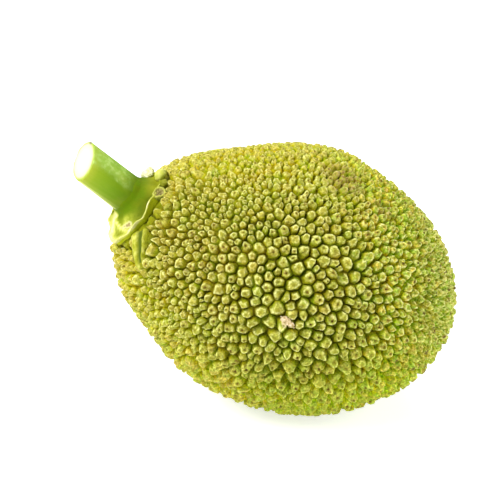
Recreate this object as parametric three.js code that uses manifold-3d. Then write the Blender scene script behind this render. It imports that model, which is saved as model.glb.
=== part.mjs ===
// A whole jackfruit lying on its side: one long, blunt, slightly lopsided fruit, the collar round
// the foot of its stalk, and the short stalk, cut off at a slant.
//
// Millimetres, +Z up. The origin is the middle of the small flat spot that the fruit rests on.
// +X points along the fruit to its blunt tip. The stalk end is the raised end, on the -X side.

import * as THREE from "three";
import { mergeVertices } from "three/addons/utils/BufferGeometryUtils.js";
import Module from "manifold-3d";

const wasm = await Module();
wasm.setup();

// ---- Driving dimensions -------------------------------------------------------------------

// The fruit's half sizes along its own length, depth and height, over the tips of its knobs.
const HALF_LENGTH = 134;
const HALF_DEPTH = 104;
const HALF_HEIGHT = 101.3;
const BODY_TILT = 18.6; // degrees that the stalk end is raised
const BODY_DETAIL = 14; // subdivisions of the ball that the fruit is shaped from

// The fruit's centre, seen from the middle of its flat spot. The height leaves the lowest 4 mm
// pressed flat.
const BODY_CENTRE = new THREE.Vector3(-17.2, 2.5, 100.9);

// Broad swellings (+) and hollows (-) of the fruit, as shares of its radius. Each one faces
// "along" degrees from the blunt tip (0) over the top (90) to the stalk end (180), in a plane
// through the long axis that leans "lean" degrees back from upright, and fades over "spread"
// degrees.
const SWELLS = [
  { part: "crest", along: 84, lean: 25, share: 0.033, spread: 15.5 },
  { part: "saddle between crest and stalk", along: 127.5, lean: 25, share: -0.064, spread: 21 },
  { part: "shoulder at the stalk end", along: 178, lean: 25, share: 0.026, spread: 12 },
  { part: "flattened flank under the stalk", along: 217, lean: 25, share: -0.05, spread: 14.5 },
  { part: "belly near the blunt tip", along: 288.5, lean: 25, share: 0.023, spread: 23.5 },
  { part: "swelling on the far side", along: 66, lean: 104, share: 0.024, spread: 27 },
  { part: "hollow on the far side", along: 128, lean: 112, share: -0.03, spread: 24 },
];

// The stalk's line: where it leaves the fruit, seen from the fruit's centre, how steeply it
// rises, and how far it is swung towards -Y.
const STALK_FOOT = new THREE.Vector3(-115.5, -8.7, 69.5);
const STALK_RISE = 43.4; // degrees
const STALK_SWING = 13; // degrees

// Heights along the stalk's line, from its foot.
const SEAT = -10; // flat seat on the fruit, a smooth ring left clear round the collar
const COLLAR_TOP = 1.6;
const CUT = 42.4; // where the slanting cut crosses the middle of the stalk
const GAP = 0.3; // clearance between touching pieces

const STALK_RADIUS = 13.9;
const STALK_FLARE = 0.7; // extra radius at the foot
const FLARE_LENGTH = 6; // height over which that flare fades
const STALK_FLUTES = 5; // shallow rounded ribs along the stalk
const FLUTE_DEPTH = 0.25;
const CUT_SLANT = 19; // degrees between the cut's normal and the stalk's line
const CUT_TURN = -132; // degrees round the stalk to the side that is cut lowest

const LIP_RADIUS = 28; // middle of the collar's wavy lip
const LIP_FLAP = 2.8; // how much wider the collar is on its lower side
const LIP_WAVE = 0.8; // ripples of the lip
const LIP_THICKNESS = 2.2;
const LIP_LIFT = 2.6; // how far the lip is lifted off the fruit, least on the lower side
const FLAP_TURN = -130; // degrees round the stalk to the middle of that lower side

// ---- Materials ----------------------------------------------------------------------------

const rind = new THREE.MeshStandardMaterial({ color: 0xa9ad3c, roughness: 0.55, metalness: 0 });
const collarSkin = new THREE.MeshStandardMaterial({ color: 0xa3b84e, roughness: 0.5, metalness: 0 });
const stalkSkin = new THREE.MeshStandardMaterial({ color: 0x7fae2b, roughness: 0.4, metalness: 0 });

// ---- Helpers ------------------------------------------------------------------------------

const radians = THREE.MathUtils.degToRad;

// Turns a closed three.js geometry into a solid: shared corners are welded and the collapsed
// triangles at the poles of a lathe or ball are left out.
function toSolid(geometry) {
  const bare = geometry.clone();
  bare.deleteAttribute("normal");
  bare.deleteAttribute("uv");
  const welded = mergeVertices(bare);
  const index = welded.index.array;
  const corners = [];
  for (let i = 0; i < index.length; i += 3) {
    const [a, b, c] = [index[i], index[i + 1], index[i + 2]];
    if (a !== b && b !== c && c !== a) corners.push(a, b, c);
  }
  return new wasm.Manifold(
    new wasm.Mesh({
      numProp: 3,
      vertProperties: new Float32Array(welded.attributes.position.array),
      triVerts: new Uint32Array(corners),
    }),
  );
}

function toGeometry(solid) {
  const mesh = solid.getMesh();
  const geometry = new THREE.BufferGeometry();
  geometry.setAttribute("position", new THREE.BufferAttribute(mesh.vertProperties, 3));
  geometry.setIndex(new THREE.BufferAttribute(mesh.triVerts, 1));
  geometry.computeVertexNormals();
  return geometry;
}

// Moves every corner of a geometry to where move(point) puts it.
function reshape(geometry, move) {
  const position = geometry.attributes.position;
  const point = new THREE.Vector3();
  for (let i = 0; i < position.count; i += 1) {
    point.fromBufferAttribute(position, i);
    move(point);
    position.setXYZ(i, point.x, point.y, point.z);
  }
  return geometry;
}

// A large block that fills everything on the far side of a plane, in the direction of its normal.
function everythingBeyond(pointOnPlane, normal) {
  const size = 6 * HALF_LENGTH;
  const block = new THREE.BoxGeometry(size, size, size);
  block.translate(0, 0, size / 2);
  block.applyQuaternion(
    new THREE.Quaternion().setFromUnitVectors(new THREE.Vector3(0, 0, 1), normal),
  );
  block.translate(pointOnPlane.x, pointOnPlane.y, pointOnPlane.z);
  return toSolid(block);
}

// ---- The stalk's frame: +Z runs out along the stalk's line, from its foot -----------------

const stalkFrame = new THREE.Group();
stalkFrame.position.copy(BODY_CENTRE).add(STALK_FOOT);
stalkFrame.rotation.set(0, radians(STALK_RISE - 90), radians(STALK_SWING), "ZYX");
const stalkLine = new THREE.Vector3(0, 0, 1).applyEuler(stalkFrame.rotation);

// ---- Fruit --------------------------------------------------------------------------------

function facing(along, lean) {
  const side = Math.sin(radians(along));
  return new THREE.Vector3(
    Math.cos(radians(along)),
    side * Math.sin(radians(lean)),
    side * Math.cos(radians(lean)),
  );
}

// Distance from the fruit's centre to its surface, in a direction given in its own axes.
function fruitRadius(direction) {
  const oval = Math.hypot(
    direction.x / HALF_LENGTH,
    direction.y / HALF_DEPTH,
    direction.z / HALF_HEIGHT,
  );
  let share = 1;
  for (const swell of SWELLS) {
    const away = direction.angleTo(facing(swell.along, swell.lean)) / radians(swell.spread);
    share += swell.share * Math.exp(-away * away);
  }
  return share / oval;
}

function fruitGeometry() {
  const ball = new THREE.IcosahedronGeometry(1, BODY_DETAIL);
  reshape(ball, (point) => {
    point.normalize();
    point.multiplyScalar(fruitRadius(point));
  });
  ball.rotateY(radians(BODY_TILT));
  ball.translate(BODY_CENTRE.x, BODY_CENTRE.y, BODY_CENTRE.z);

  const seat = stalkFrame.position.clone().addScaledVector(stalkLine, SEAT);
  const floor = new THREE.Vector3(0, 0, 0);
  const down = new THREE.Vector3(0, 0, -1);
  const whole = toSolid(ball);
  const rested = whole.subtract(everythingBeyond(floor, down));
  return toGeometry(rested.subtract(everythingBeyond(seat, stalkLine)));
}

// ---- Collar: a thick wavy flange that flares from the stalk down to the fruit -------------

function collarGeometry() {
  const bottom = SEAT + GAP;
  const lipTop = bottom + LIP_THICKNESS;
  const neck = STALK_RADIUS + STALK_FLARE;
  const outline = [
    [0, bottom],
    [neck, bottom],
    [LIP_RADIUS - 5, bottom],
    [LIP_RADIUS - 1.2, bottom + 0.2],
    [LIP_RADIUS, bottom + 1],
    [LIP_RADIUS - 0.2, lipTop - 0.3],
    [LIP_RADIUS - 1, lipTop],
    [LIP_RADIUS - 3.2, lipTop],
    [LIP_RADIUS - 6.4, lipTop + 1],
    [neck + 5, lipTop + 3],
    [neck + 2, lipTop + 6],
    [neck + 0.5, COLLAR_TOP - 1],
    [neck, COLLAR_TOP],
    [0, COLLAR_TOP],
  ].map(([x, y]) => new THREE.Vector2(x, y));
  const flange = new THREE.LatheGeometry(outline, 64);
  flange.rotateX(Math.PI / 2);
  // Only what lies outside the stalk's foot is widened, rippled and lifted.
  reshape(flange, (point) => {
    const radius = Math.hypot(point.x, point.y);
    if (radius <= neck) return;
    const turn = Math.atan2(point.y, point.x);
    const reach = (radius - neck) / (LIP_RADIUS - neck);
    const lowerSide = Math.cos(turn - radians(FLAP_TURN));
    const wave = LIP_WAVE * (Math.sin(3 * turn) + 0.6 * Math.sin(7 * turn + 1));
    const wider = 1 + (reach * (LIP_FLAP * lowerSide + wave)) / radius;
    point.x *= wider;
    point.y *= wider;
    point.z += (reach ** 3 * LIP_LIFT * (1 - lowerSide)) / 2;
  });
  return toGeometry(toSolid(flange));
}

// ---- Stalk: a nearly straight round stalk, cut off at a slant -----------------------------

function stalkGeometry() {
  const foot = COLLAR_TOP + GAP;
  const length = CUT - foot + 2 * STALK_RADIUS * Math.sin(radians(CUT_SLANT));
  const stem = new THREE.CylinderGeometry(STALK_RADIUS, STALK_RADIUS, length, 40, 12);
  stem.rotateX(Math.PI / 2);
  stem.translate(0, 0, foot + length / 2);
  reshape(stem, (point) => {
    const turn = Math.atan2(point.y, point.x);
    const flare = STALK_FLARE * Math.exp(-(point.z - foot) / FLARE_LENGTH);
    const flute = FLUTE_DEPTH * Math.cos(STALK_FLUTES * turn);
    const wider = 1 + (flare + flute) / STALK_RADIUS;
    point.x *= wider;
    point.y *= wider;
  });

  const lean = Math.sin(radians(CUT_SLANT));
  const cutNormal = new THREE.Vector3(
    lean * Math.cos(radians(CUT_TURN)),
    lean * Math.sin(radians(CUT_TURN)),
    Math.cos(radians(CUT_SLANT)),
  );
  const cutPoint = new THREE.Vector3(0, 0, CUT);
  return toGeometry(toSolid(stem).subtract(everythingBeyond(cutPoint, cutNormal)));
}

// ---- Assembly -----------------------------------------------------------------------------

function addPiece(parent, name, geometry, material) {
  const mesh = new THREE.Mesh(geometry, material);
  mesh.name = name;
  parent.add(mesh);
}

const jackfruit = new THREE.Group();
addPiece(jackfruit, "fruit", fruitGeometry(), rind);
addPiece(stalkFrame, "collar", collarGeometry(), collarSkin);
addPiece(stalkFrame, "stalk", stalkGeometry(), stalkSkin);
jackfruit.add(stalkFrame);

export default jackfruit;
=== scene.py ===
import math

import bmesh
import bpy
import numpy as np
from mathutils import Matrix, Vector
from mathutils.bvhtree import BVHTree


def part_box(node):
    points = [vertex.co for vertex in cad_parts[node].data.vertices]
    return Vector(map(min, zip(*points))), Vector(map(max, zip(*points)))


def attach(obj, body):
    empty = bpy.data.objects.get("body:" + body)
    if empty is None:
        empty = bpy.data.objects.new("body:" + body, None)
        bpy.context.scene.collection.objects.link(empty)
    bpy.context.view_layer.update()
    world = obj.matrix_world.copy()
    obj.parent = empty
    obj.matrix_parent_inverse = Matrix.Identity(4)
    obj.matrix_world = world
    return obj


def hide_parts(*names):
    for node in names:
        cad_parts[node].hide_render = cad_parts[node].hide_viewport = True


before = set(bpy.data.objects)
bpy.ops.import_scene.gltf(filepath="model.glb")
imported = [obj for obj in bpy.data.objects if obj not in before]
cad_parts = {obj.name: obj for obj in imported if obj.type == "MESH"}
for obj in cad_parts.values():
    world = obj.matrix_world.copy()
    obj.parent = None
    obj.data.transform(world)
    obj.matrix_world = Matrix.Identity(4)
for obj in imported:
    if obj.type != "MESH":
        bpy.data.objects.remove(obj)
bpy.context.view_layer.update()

MM = 0.001

# ---- Places and sizes, in metres ------------------------------------------------------------

# The camera looks along +Y and down, from about arm's length.
CAMERA_ELEVATION = math.radians(25)
CAMERA_DISTANCE = 0.9
CAMERA_AIM = Vector((-0.04395, 0.01059, 0.11826))
CAMERA_LENS = 85.26  # mm, on a 36 mm wide sensor

# The stalk's line: where it leaves the fruit, how steeply it rises, how far it swings to -Y.
STALK_FOOT = np.array([-0.1327, -0.0062, 0.1704])
STALK_RISE = math.radians(43.4)
STALK_SWING = math.radians(13)

# The stalk, in its own frame: heights are along its line, turns are degrees round it.
STALK_RADIUS = 13.9 * MM
STALK_FLARE = 0.7 * MM
FLARE_LENGTH = 6 * MM
STALK_SUNK = -6 * MM  # where it ends, out of sight inside the collar
STALK_FLUTES = 5
FLUTE_DEPTH = 0.25 * MM
STALK_DENTS = ((2, 0.14 * MM, 0.4), (3, 0.10 * MM, 2.0), (11, 0.05 * MM, 1.0))
STALK_FIBRES = 0.05 * MM
STALK_ROWS, STALK_COLUMNS = 72, 144
CUT = 42.4 * MM
CUT_SLANT = 19
CUT_TURN = -132
CUT_BEVEL = 0.6 * MM
CUT_RIPPLE = 0.10 * MM
CUT_PROFILE = (  # share of the radius, and height in bevels over the foot of the bevel
    (0.985, 0.35), (0.955, 0.75), (0.90, 0.95), (0.80, 0.98), (0.66, 0.96), (0.50, 0.90),
    (0.34, 0.84), (0.18, 0.78), (0.08, 0.76),
)
TORN_TURN = 12
TORN_WIDTH = math.degrees(0.16)
TORN_HEIGHT = 1.3 * MM
TORN_JAGS = 41  # in a whole turn
TORN_FADE, GREEN_FADE = 16, 14  # how fast the sliver and the green end, inwards over the edge
TORN_PLACE = (TORN_TURN, 13.4 * MM, 47.0 * MM)

# The collar round the stalk's foot. Ripples are waves per turn, height and offset; a pair of
# turns is the middle of a stretch of the lip and its half width.
LIP_RADIUS = 28.4 * MM
LIP_HEIGHT = -5.2 * MM
LIP_RIPPLES = ((3, 0.6 * MM, 0.3), (7, 0.55 * MM, 1.0), (13, 0.50 * MM, 2.2), (23, 0.28 * MM, 0.5))
LIP_WAVES = ((2, 0.4 * MM, 2.4), (5, 0.5 * MM, 0.5), (11, 0.40 * MM, 1.9))
LIP_FLAP = 4.0 * MM  # how much wider it is on its lower side
FLAP_TURN = -124
LIP_DROOP = 1.6 * MM  # how much lower the lip hangs on that side
TONGUE = 5.5 * MM  # how much further it hangs out in the lowest part of that side
TONGUE_TURNS = (223, 27)
TUCK = 3.0 * MM  # and how much it is tucked in beside that
TUCK_TURNS = (166, 22)
UPPER_TURN = 28
LIP_SUNK = 2.2 * MM  # how much lower the lip lies on its upper side, among the old marks
FULLNESS = 1.8 * MM  # how much higher the flare is in its fullest part
FULL_TURNS = (188, 34)
WRINKLES = ((17, 0.22 * MM, 0.0), (29, 0.16 * MM, 1.3), (9, 0.35 * MM, 0.7))
FOLD_HEIGHT = 1.5 * MM
FOLD_WIDTH = 0.085  # share of the way from the neck to the lip
PALE_PATCHES = ((9, 0.3, 1.0), (19, 0.3, 0.2))
SPECK_TURNS = (-126, -121, -116)  # a long brown speck: turns along it, radius and height
SPECK = (26.0 * MM, -7.4 * MM)

# Its section, up the inside of the neck, down the flare, over the lip and back underneath:
# share of the way from the neck to the lip and mm beyond that, share of the lip's height and mm
# above that, share of the fullness, and paleness with the share of the pale patches.
COLLAR_SECTION = (
    ((0, -2.0), (0, -11.0), 0, (0, 0)), ((0, -2.2), (0, -4.0), 0, (0, 0)),
    ((0, -2.0), (0, 2.5), 0, (0, 0)), ((0, -1.1), (0, 5.5), 0, (0, 0)),
    ((0, 0.15), (0, 2.6), 0, (0, 0)), ((0, 0.8), (0, 0.2), 0, (0, 0)),
    ((0, 2.6), (0, -2.0), 0, (0, 0)), ((0.38, 0), (0, -4.2), 1, (0, 0)),
    ((0.65, 0), (1, -1.0), 1, (0, 0)), ((1, -2.9), (1, -1.0), 0.4, (0, 0)),
    ((1, -1.7), (1, -0.4), 0, (0.45, 1)), ((1, -0.8), (1, 0.1), 0, (0.72, 0.5)),
    ((1, -0.1), (1, -0.2), 0, (0.65, 0.5)), ((1, 0), (1, -0.9), 0, (0.3, 0)),
    ((1, -0.9), (1, -2.4), 0, (0, 0)), ((1, -1.6), (0, -9.8), 0, (0, 0)),
    ((1, -3.0), (0, -12.8), 0, (0, 0)), ((0, 5.4), (0, -13.2), 0, (0, 0)),
)
BETWEEN_POINTS = (0.0, 0.34, 0.67)  # where the rows of its mesh are, from one point to the next
OUTSIDE_ROW = 13  # its points from here on are under the lip
COLLAR_COLUMNS = 264
COLLAR_UNDERSIDE = -9 * MM

# Old marks beside the collar: turn round the stalk, radius and height of the middle of each.
MARKS = {
    "smooth_knob": ((-5, 27.0 * MM, -7.8 * MM), dict(
        size=(4.8 * MM, 5.2 * MM, 4.4 * MM), unevenness=0.05, waves=2.5, dimple=0.18, seed=3)),
    "low_swelling": ((-28, 28.8 * MM, -9.6 * MM), dict(
        size=(3.6 * MM, 3.6 * MM, 3.0 * MM), unevenness=0.10, waves=2.5, seed=9)),
    "dried_wax": ((40, 23.8 * MM, -6.4 * MM), dict(
        size=(4.6 * MM, 7.2 * MM, 4.0 * MM), unevenness=0.20, waves=3.5, seed=5)),
}
SCAR = (-49, 29.6 * MM, -8.8 * MM)
SCAR_RADIUS = 4.1 * MM
SCAR_OVAL = 1.15
SCAR_RIPPLES = ((2, 0.10, 0.4), (3, 0.05, 1.7), (7, 0.03, 0.9))
SCAR_CORE = 0.72  # share of the radius
SCAR_COLUMNS = 72
SCAR_PROFILE = (  # share of the radius, height in mm and paleness
    (1.05, -6.0, 0.0), (1.08, -2.0, 0.0), (1.08, 0.6, 0.1), (1.04, 1.7, 0.5), (0.97, 2.4, 1.0),
    (0.87, 2.6, 1.0), (0.78, 2.3, 0.9), (0.70, 1.8, 0.4), (0.60, 1.4, 0.0), (0.45, 1.2, 0.0),
    (0.28, 1.3, 0.0), (0.12, 1.4, 0.0),
)

# Two smooth ribs with a dark furrow between them, running down the fruit from the collar.
RIBS_START = np.array([-0.1240, -0.0400, 0.1575])
RIBS_END = np.array([-0.1214, -0.0580, 0.1330])
RIBS_HALF_WIDTH = 9.0 * MM
RIBS_TAPER = 0.55  # how much narrower they are at their lower end
RIBS_SUNK = 1.6 * MM  # how much lower both ends are than the middle
RIBS_ROOT = 4 * MM  # how far they go into the fruit
RIBS_CLEARED = 0.85  # share of their length that is clear of knobs
RIBS_OVERLAP, RIBS_MARGIN = 1 * MM, 1.5 * MM  # the knobs rise from inside their edge to beyond it
RIBS_ROWS, RIBS_COLUMNS = 64, 41
RIBS_SECTION = (  # across, as a share of the half width, and height over the smooth ring, in mm
    (-1.0, -1.4), (-0.95, -0.2), (-0.82, 0.8), (-0.60, 1.4), (-0.30, 1.6), (-0.12, 1.4),
    (-0.03, 0.7), (0.03, 0.2), (0.60, 0.2), (0.65, 0.7), (0.72, 1.4), (0.80, 1.6), (0.90, 0.9),
    (0.97, -0.2), (1.0, -1.4),
)
FURROW = (0.32, 0.35)  # its middle and half width, as shares of the ribs' half width

RIND_SEED = 7  # of all that is random in the rind

# Knobs of the rind: distance between their centres in the middle of the fruit, how much it
# changes elsewhere, and where: distances from the stalk's foot, heights, and X.
KNOB_SPACING = 8.1 * MM
CLOSER_AT_STALK, AT_STALK, OFF_COLLAR = 1.9 * MM, (0.080, 0.150), (0.055, 0.085)
CLOSER_ON_TOP, ON_TOP = 1.2 * MM, (0.150, 0.190)
CLOSER_AT_TIP, AT_TIP = 1.2 * MM, (0.030, 0.090)
WIDER_BELOW, BELOW = 2.0 * MM, (0.050, 0.110)
WIDER_AT_COLLAR, AT_COLLAR = 1.3 * MM, (0.045, 0.070)
KNOB_SIZE_VARIETY = 0.33
KNOB_HEIGHT = 0.85  # share of the spacing
KNOB_SUNK = 2.3 * MM  # how far the lowest knobs stand below the highest
TWINS = 0.30  # share of the knobs that have grown together with a neighbour
BARREL = 1.9  # how much longer than wide the knobs beside the collar are
BARREL_REACH = (0.055, 0.080)  # from the stalk's line
STALK_SIDE = -0.060  # along the stalk's line: higher points are on the stalk's side of the fruit
BELLY = np.array([-0.020, -0.092, 0.130])  # where the knobs are broad and flat-topped
BROAD_REACH = (0.075, 0.130)
BESIDE_COLLAR = (-0.0900, -0.0600, 0.1620)  # where the largest knobs stand

# The smooth ring round the collar.
GROOVE_DEPTH = 1.6 * MM  # under the line of the knobs' tips
GROOVE_WIDTH = 2.4 * MM  # from the collar's lip to where the first knobs start to rise
GROOVE_RISE = 1.6 * MM  # and from there to where they are at full height
NARROW_TURNS = (208, 34)  # it is narrower here and on the collar's upper side

# Marks on the rind: the middles of two brown bruises, and a smear of dried latex.
BRUISE = (0.0240, -0.0200, 0.1890)
SECOND_BRUISE = (0.0520, -0.0330, 0.1740)
LATEX = (-0.0185, -0.1005, 0.1155)
LATEX_SUNK = 1.6 * MM
LATEX_RUNS = (0.74, -0.31, -0.67)  # the way the smear runs over the knobs
LATEX_SHAPE = dict(size=(1.8 * MM, 5.0 * MM, 1.3 * MM), unevenness=0.42, waves=4.0, seed=11)

ROOM_LIGHT = 0.2
SOFTBOXES = {  # place, size and power of each
    "key": ((-0.75, -0.45, 1.05), 0.7, 21),
    "side": ((1.1, -0.35, 0.6), 0.8, 10),
    "back": ((0.1, 0.8, 1.1), 1.0, 11),
}
SOFTBOX_AIM = (-0.02, 0, 0.1)


# ---- Camera ---------------------------------------------------------------------------------

def add_camera():
    back = Vector((0, -math.cos(CAMERA_ELEVATION), math.sin(CAMERA_ELEVATION)))
    camera = bpy.data.objects.new("camera", bpy.data.cameras.new("camera"))
    camera.data.lens = CAMERA_LENS
    camera.data.sensor_width = 36
    camera.location = CAMERA_AIM + back * CAMERA_DISTANCE
    camera.rotation_euler = (math.radians(90) - CAMERA_ELEVATION, 0, 0)
    bpy.context.scene.collection.objects.link(camera)
    bpy.context.scene.camera = camera


# ---- Small helpers --------------------------------------------------------------------------

def unit(vectors):
    return vectors / np.linalg.norm(vectors, axis=-1, keepdims=True)


def ramp(value, start, end):
    """0 before start, 1 after end, with a smooth step between."""
    t = np.clip((value - start) / (end - start), 0, 1)
    return t * t * (3 - 2 * t)


def stalk_axes():
    """The stalk's own axes: sideways up the fruit, across it, and out along its line."""
    out = np.array([
        -math.cos(STALK_RISE) * math.cos(STALK_SWING),
        -math.cos(STALK_RISE) * math.sin(STALK_SWING),
        math.sin(STALK_RISE),
    ])
    across = np.array([-math.sin(STALK_SWING), math.cos(STALK_SWING), 0])
    return np.array([np.cross(across, out), across, out])


STALK_AXES = stalk_axes()


def in_stalk_frame(points):
    return (points - STALK_FOOT) @ STALK_AXES.T


def from_stalk_frame(points):
    return points @ STALK_AXES + STALK_FOOT


def round_ring(turn, radius, height):
    """Points at turns (radians), radii and heights, in the stalk's frame."""
    return np.stack([radius * np.cos(turn), radius * np.sin(turn), height], axis=-1)


def round_stalk(turn, radius, height):
    """The place at a turn (degrees), radius and height round the stalk."""
    return from_stalk_frame(round_ring(math.radians(turn), radius, height))


def make_object(name, points, faces, attributes):
    """A smooth-shaded mesh, with attributes that its material reads."""
    mesh = bpy.data.meshes.new(name)
    mesh.from_pydata(points, [], faces)
    mesh.validate()
    mesh.shade_smooth()
    for key, values in attributes.items():
        layer = mesh.attributes.new(key, "FLOAT", "POINT")
        layer.data.foreach_set("value", np.asarray(values, np.float32))
    obj = bpy.data.objects.new(name, mesh)
    bpy.context.scene.collection.objects.link(obj)
    return obj


# ---- The fruit's outer surface, read from the frame -----------------------------------------

class FruitSurface:
    """Distance from the fruit's middle to its surface, looked up by direction."""

    STEPS = 180  # rows from pole to pole

    def __init__(self, node):
        low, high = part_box(node)
        self.middle = np.array((low + high) / 2)
        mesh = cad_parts[node].data
        corners = [v.co for v in mesh.vertices]
        tree = BVHTree.FromPolygons(corners, [p.vertices[:] for p in mesh.polygons])
        rows, columns = self.STEPS + 1, 2 * self.STEPS
        self.table = np.zeros((rows, columns))
        middle = Vector(self.middle)
        for row in range(rows):
            tilt = math.pi * row / self.STEPS
            for column in range(columns):
                turn = math.pi * column / self.STEPS
                ray = Vector((
                    math.sin(tilt) * math.cos(turn),
                    math.sin(tilt) * math.sin(turn),
                    math.cos(tilt),
                ))
                self.table[row, column] = tree.ray_cast(middle, ray)[3]

    def radius(self, directions):
        tilt = np.arccos(np.clip(directions[..., 2], -1, 1)) / math.pi * self.STEPS
        turn = np.arctan2(directions[..., 1], directions[..., 0]) / math.pi * self.STEPS
        row = np.clip(tilt.astype(int), 0, self.STEPS - 1)
        column = np.floor(turn).astype(int)
        down, side = tilt - row, turn - column
        a = column % (2 * self.STEPS)
        b = (column + 1) % (2 * self.STEPS)
        upper = self.table[row, a] * (1 - side) + self.table[row, b] * side
        lower = self.table[row + 1, a] * (1 - side) + self.table[row + 1, b] * side
        return upper * (1 - down) + lower * down

    def onto(self, points):
        """The surface points straight outwards from the fruit's middle through the points."""
        directions = unit(points - self.middle)
        return self.middle + directions * self.radius(directions)[..., None]

    def normals(self, points):
        directions = unit(points - self.middle)
        helper = np.where(np.abs(directions[..., 2:]) < 0.9, [0, 0, 1.0], [1.0, 0, 0])
        side = unit(np.cross(directions, helper))
        up = np.cross(side, directions)
        step = 0.02
        a, b, c, d = (self.onto(self.middle + directions + way * step)
                      for way in (side, -side, up, -up))
        out = unit(np.cross(a - b, c - d))
        return out * np.sign(np.sum(out * directions, axis=-1, keepdims=True))


# ---- Where the knobs sit --------------------------------------------------------------------

THROWS = 60000
HEXAGON = 0.866  # area of a cell whose neighbours' middles are 1 away
THROWN_GAP = 0.72  # share of the spacing that the knobs keep when they are scattered
OUTLIERS = 1.8  # limit of a knob's own size, in standard deviations
ROUNDS = 24
ROUNDS_TOGETHER = 4  # that share one search for neighbours
NEIGHBOURS = 9
PUSHING_GAP = 1.1  # times the spacing: nearer than this, two knobs push each other apart
PUSH = 0.22


def knob_spacing(points):
    """How far apart the knobs are at each point."""
    from_stalk = np.linalg.norm(points - STALK_FOOT, axis=1)
    at_stalk = (1 - ramp(from_stalk, *AT_STALK)) * ramp(from_stalk, *OFF_COLLAR)
    below = (1 - ramp(points[:, 2], *BELOW)) * (1 - 0.6 * at_stalk)
    closer = CLOSER_AT_STALK * at_stalk + CLOSER_ON_TOP * ramp(points[:, 2], *ON_TOP)
    wider = WIDER_BELOW * below + WIDER_AT_COLLAR * (1 - ramp(from_stalk, *AT_COLLAR))
    return KNOB_SPACING - closer + wider - CLOSER_AT_TIP * ramp(points[:, 0], *AT_TIP)


def broad_knobs(points):
    """1 on the belly, where the knobs are broad, and 0 where they are pointed."""
    return 1 - ramp(np.linalg.norm(points - BELLY, axis=-1), *BROAD_REACH)


def scatter_knobs(surface, rng):
    """Throws points at the surface, keeping those that are far enough from the earlier ones."""
    directions = unit(rng.normal(size=(THROWS, 3)))
    points = surface.onto(surface.middle + directions)
    normals = surface.normals(points)
    distance = np.linalg.norm(points - surface.middle, axis=1)
    area = 4 * math.pi / len(points) * distance ** 2 / np.abs(np.sum(directions * normals, axis=1))
    spacing = knob_spacing(points)
    wanted = int(np.sum(area / (HEXAGON * spacing ** 2)))
    likely = rng.random(len(points)) < area / area.max()
    kept = np.zeros((wanted, 3))
    reach = np.zeros(wanted)
    count = 0
    for point, own in zip(points[likely], THROWN_GAP * spacing[likely]):
        gaps = np.linalg.norm(kept[:count] - point, axis=1)
        if np.all(gaps > (reach[:count] + own) / 2):
            kept[count] = point
            reach[count] = own
            count += 1
            if count == wanted:
                break
    return kept[:count]


def nearest(points, count):
    square = np.sum(points ** 2, axis=1)
    gaps = square[:, None] + square[None, :] - 2 * points @ points.T
    np.fill_diagonal(gaps, np.inf)
    return np.argpartition(gaps, count, axis=1)[:, :count]


def relax_knobs(points, surface, rng):
    """Lets the knobs push each other apart until they fill the surface, each to its own size."""
    own = 1 + KNOB_SIZE_VARIETY * np.clip(rng.normal(size=len(points)), -OUTLIERS, OUTLIERS)
    for turn in range(ROUNDS):
        if turn % ROUNDS_TOGETHER == 0:
            neighbours = nearest(points, NEIGHBOURS)
        spacing = knob_spacing(points) * own
        away = points[:, None] - points[neighbours]
        local = in_stalk_frame(points)
        from_line = np.linalg.norm(local[:, :2], axis=1)
        barrel = (BARREL - 1) * (1 - ramp(from_line, *BARREL_REACH)) * (local[:, 2] > STALK_SIDE)
        radial = unit(local * [1, 1, 0]) @ STALK_AXES
        along = np.sum(away * radial[:, None], axis=2, keepdims=True) * radial[:, None]
        away = away - along * (barrel / (1 + barrel))[:, None, None]
        gap = np.linalg.norm(away, axis=2)
        wanted = PUSHING_GAP * (spacing[:, None] + spacing[neighbours]) / 2
        push = np.clip(wanted - gap, 0, None) / gap
        points = surface.onto(points + PUSH * np.sum(away * push[..., None], axis=1))
    return points


# ---- Cells between the knobs ----------------------------------------------------------------

def hull_triangles(directions):
    """Triangles that join neighbouring directions: the convex hull of points on a ball."""
    bm = bmesh.new()
    corners = [bm.verts.new(d) for d in directions]
    bm.verts.index_update()
    bmesh.ops.convex_hull(bm, input=corners)
    bmesh.ops.triangulate(bm, faces=bm.faces[:])
    triangles = np.array([[v.index for v in f.verts] for f in bm.faces])
    bm.free()
    a, b, c = (directions[triangles[:, k]] for k in range(3))
    inward = np.sum(np.cross(b - a, c - a) * a, axis=1) < 0
    triangles[inward] = triangles[inward][:, ::-1]
    return triangles


def corner_angle(points, tip, left, right):
    a, b = points[left] - points[tip], points[right] - points[tip]
    return math.atan2(np.linalg.norm(np.cross(a, b)), float(a @ b))


def flip_long_edges(points, triangles, rounds=6):
    """Swaps an edge wherever the two angles facing it add up to more than a half turn."""
    triangles = [tuple(int(k) for k in t) for t in triangles]
    for _ in range(rounds):
        opposite = {}
        for index, (a, b, c) in enumerate(triangles):
            for start, end, tip in ((a, b, c), (b, c, a), (c, a, b)):
                opposite[start, end] = (index, tip)
        used = set()
        flips = 0
        for (start, end), (first, tip) in list(opposite.items()):
            if start > end or (end, start) not in opposite:
                continue
            second, other = opposite[end, start]
            if first in used or second in used:
                continue
            facing = corner_angle(points, tip, start, end) + corner_angle(points, other, start, end)
            if facing > math.pi + 1e-4 and (tip, other) not in opposite:
                triangles[first] = (tip, start, other)
                triangles[second] = (other, end, tip)
                used.update((first, second))
                flips += 1
        if not flips:
            break
    return np.array(triangles)


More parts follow.
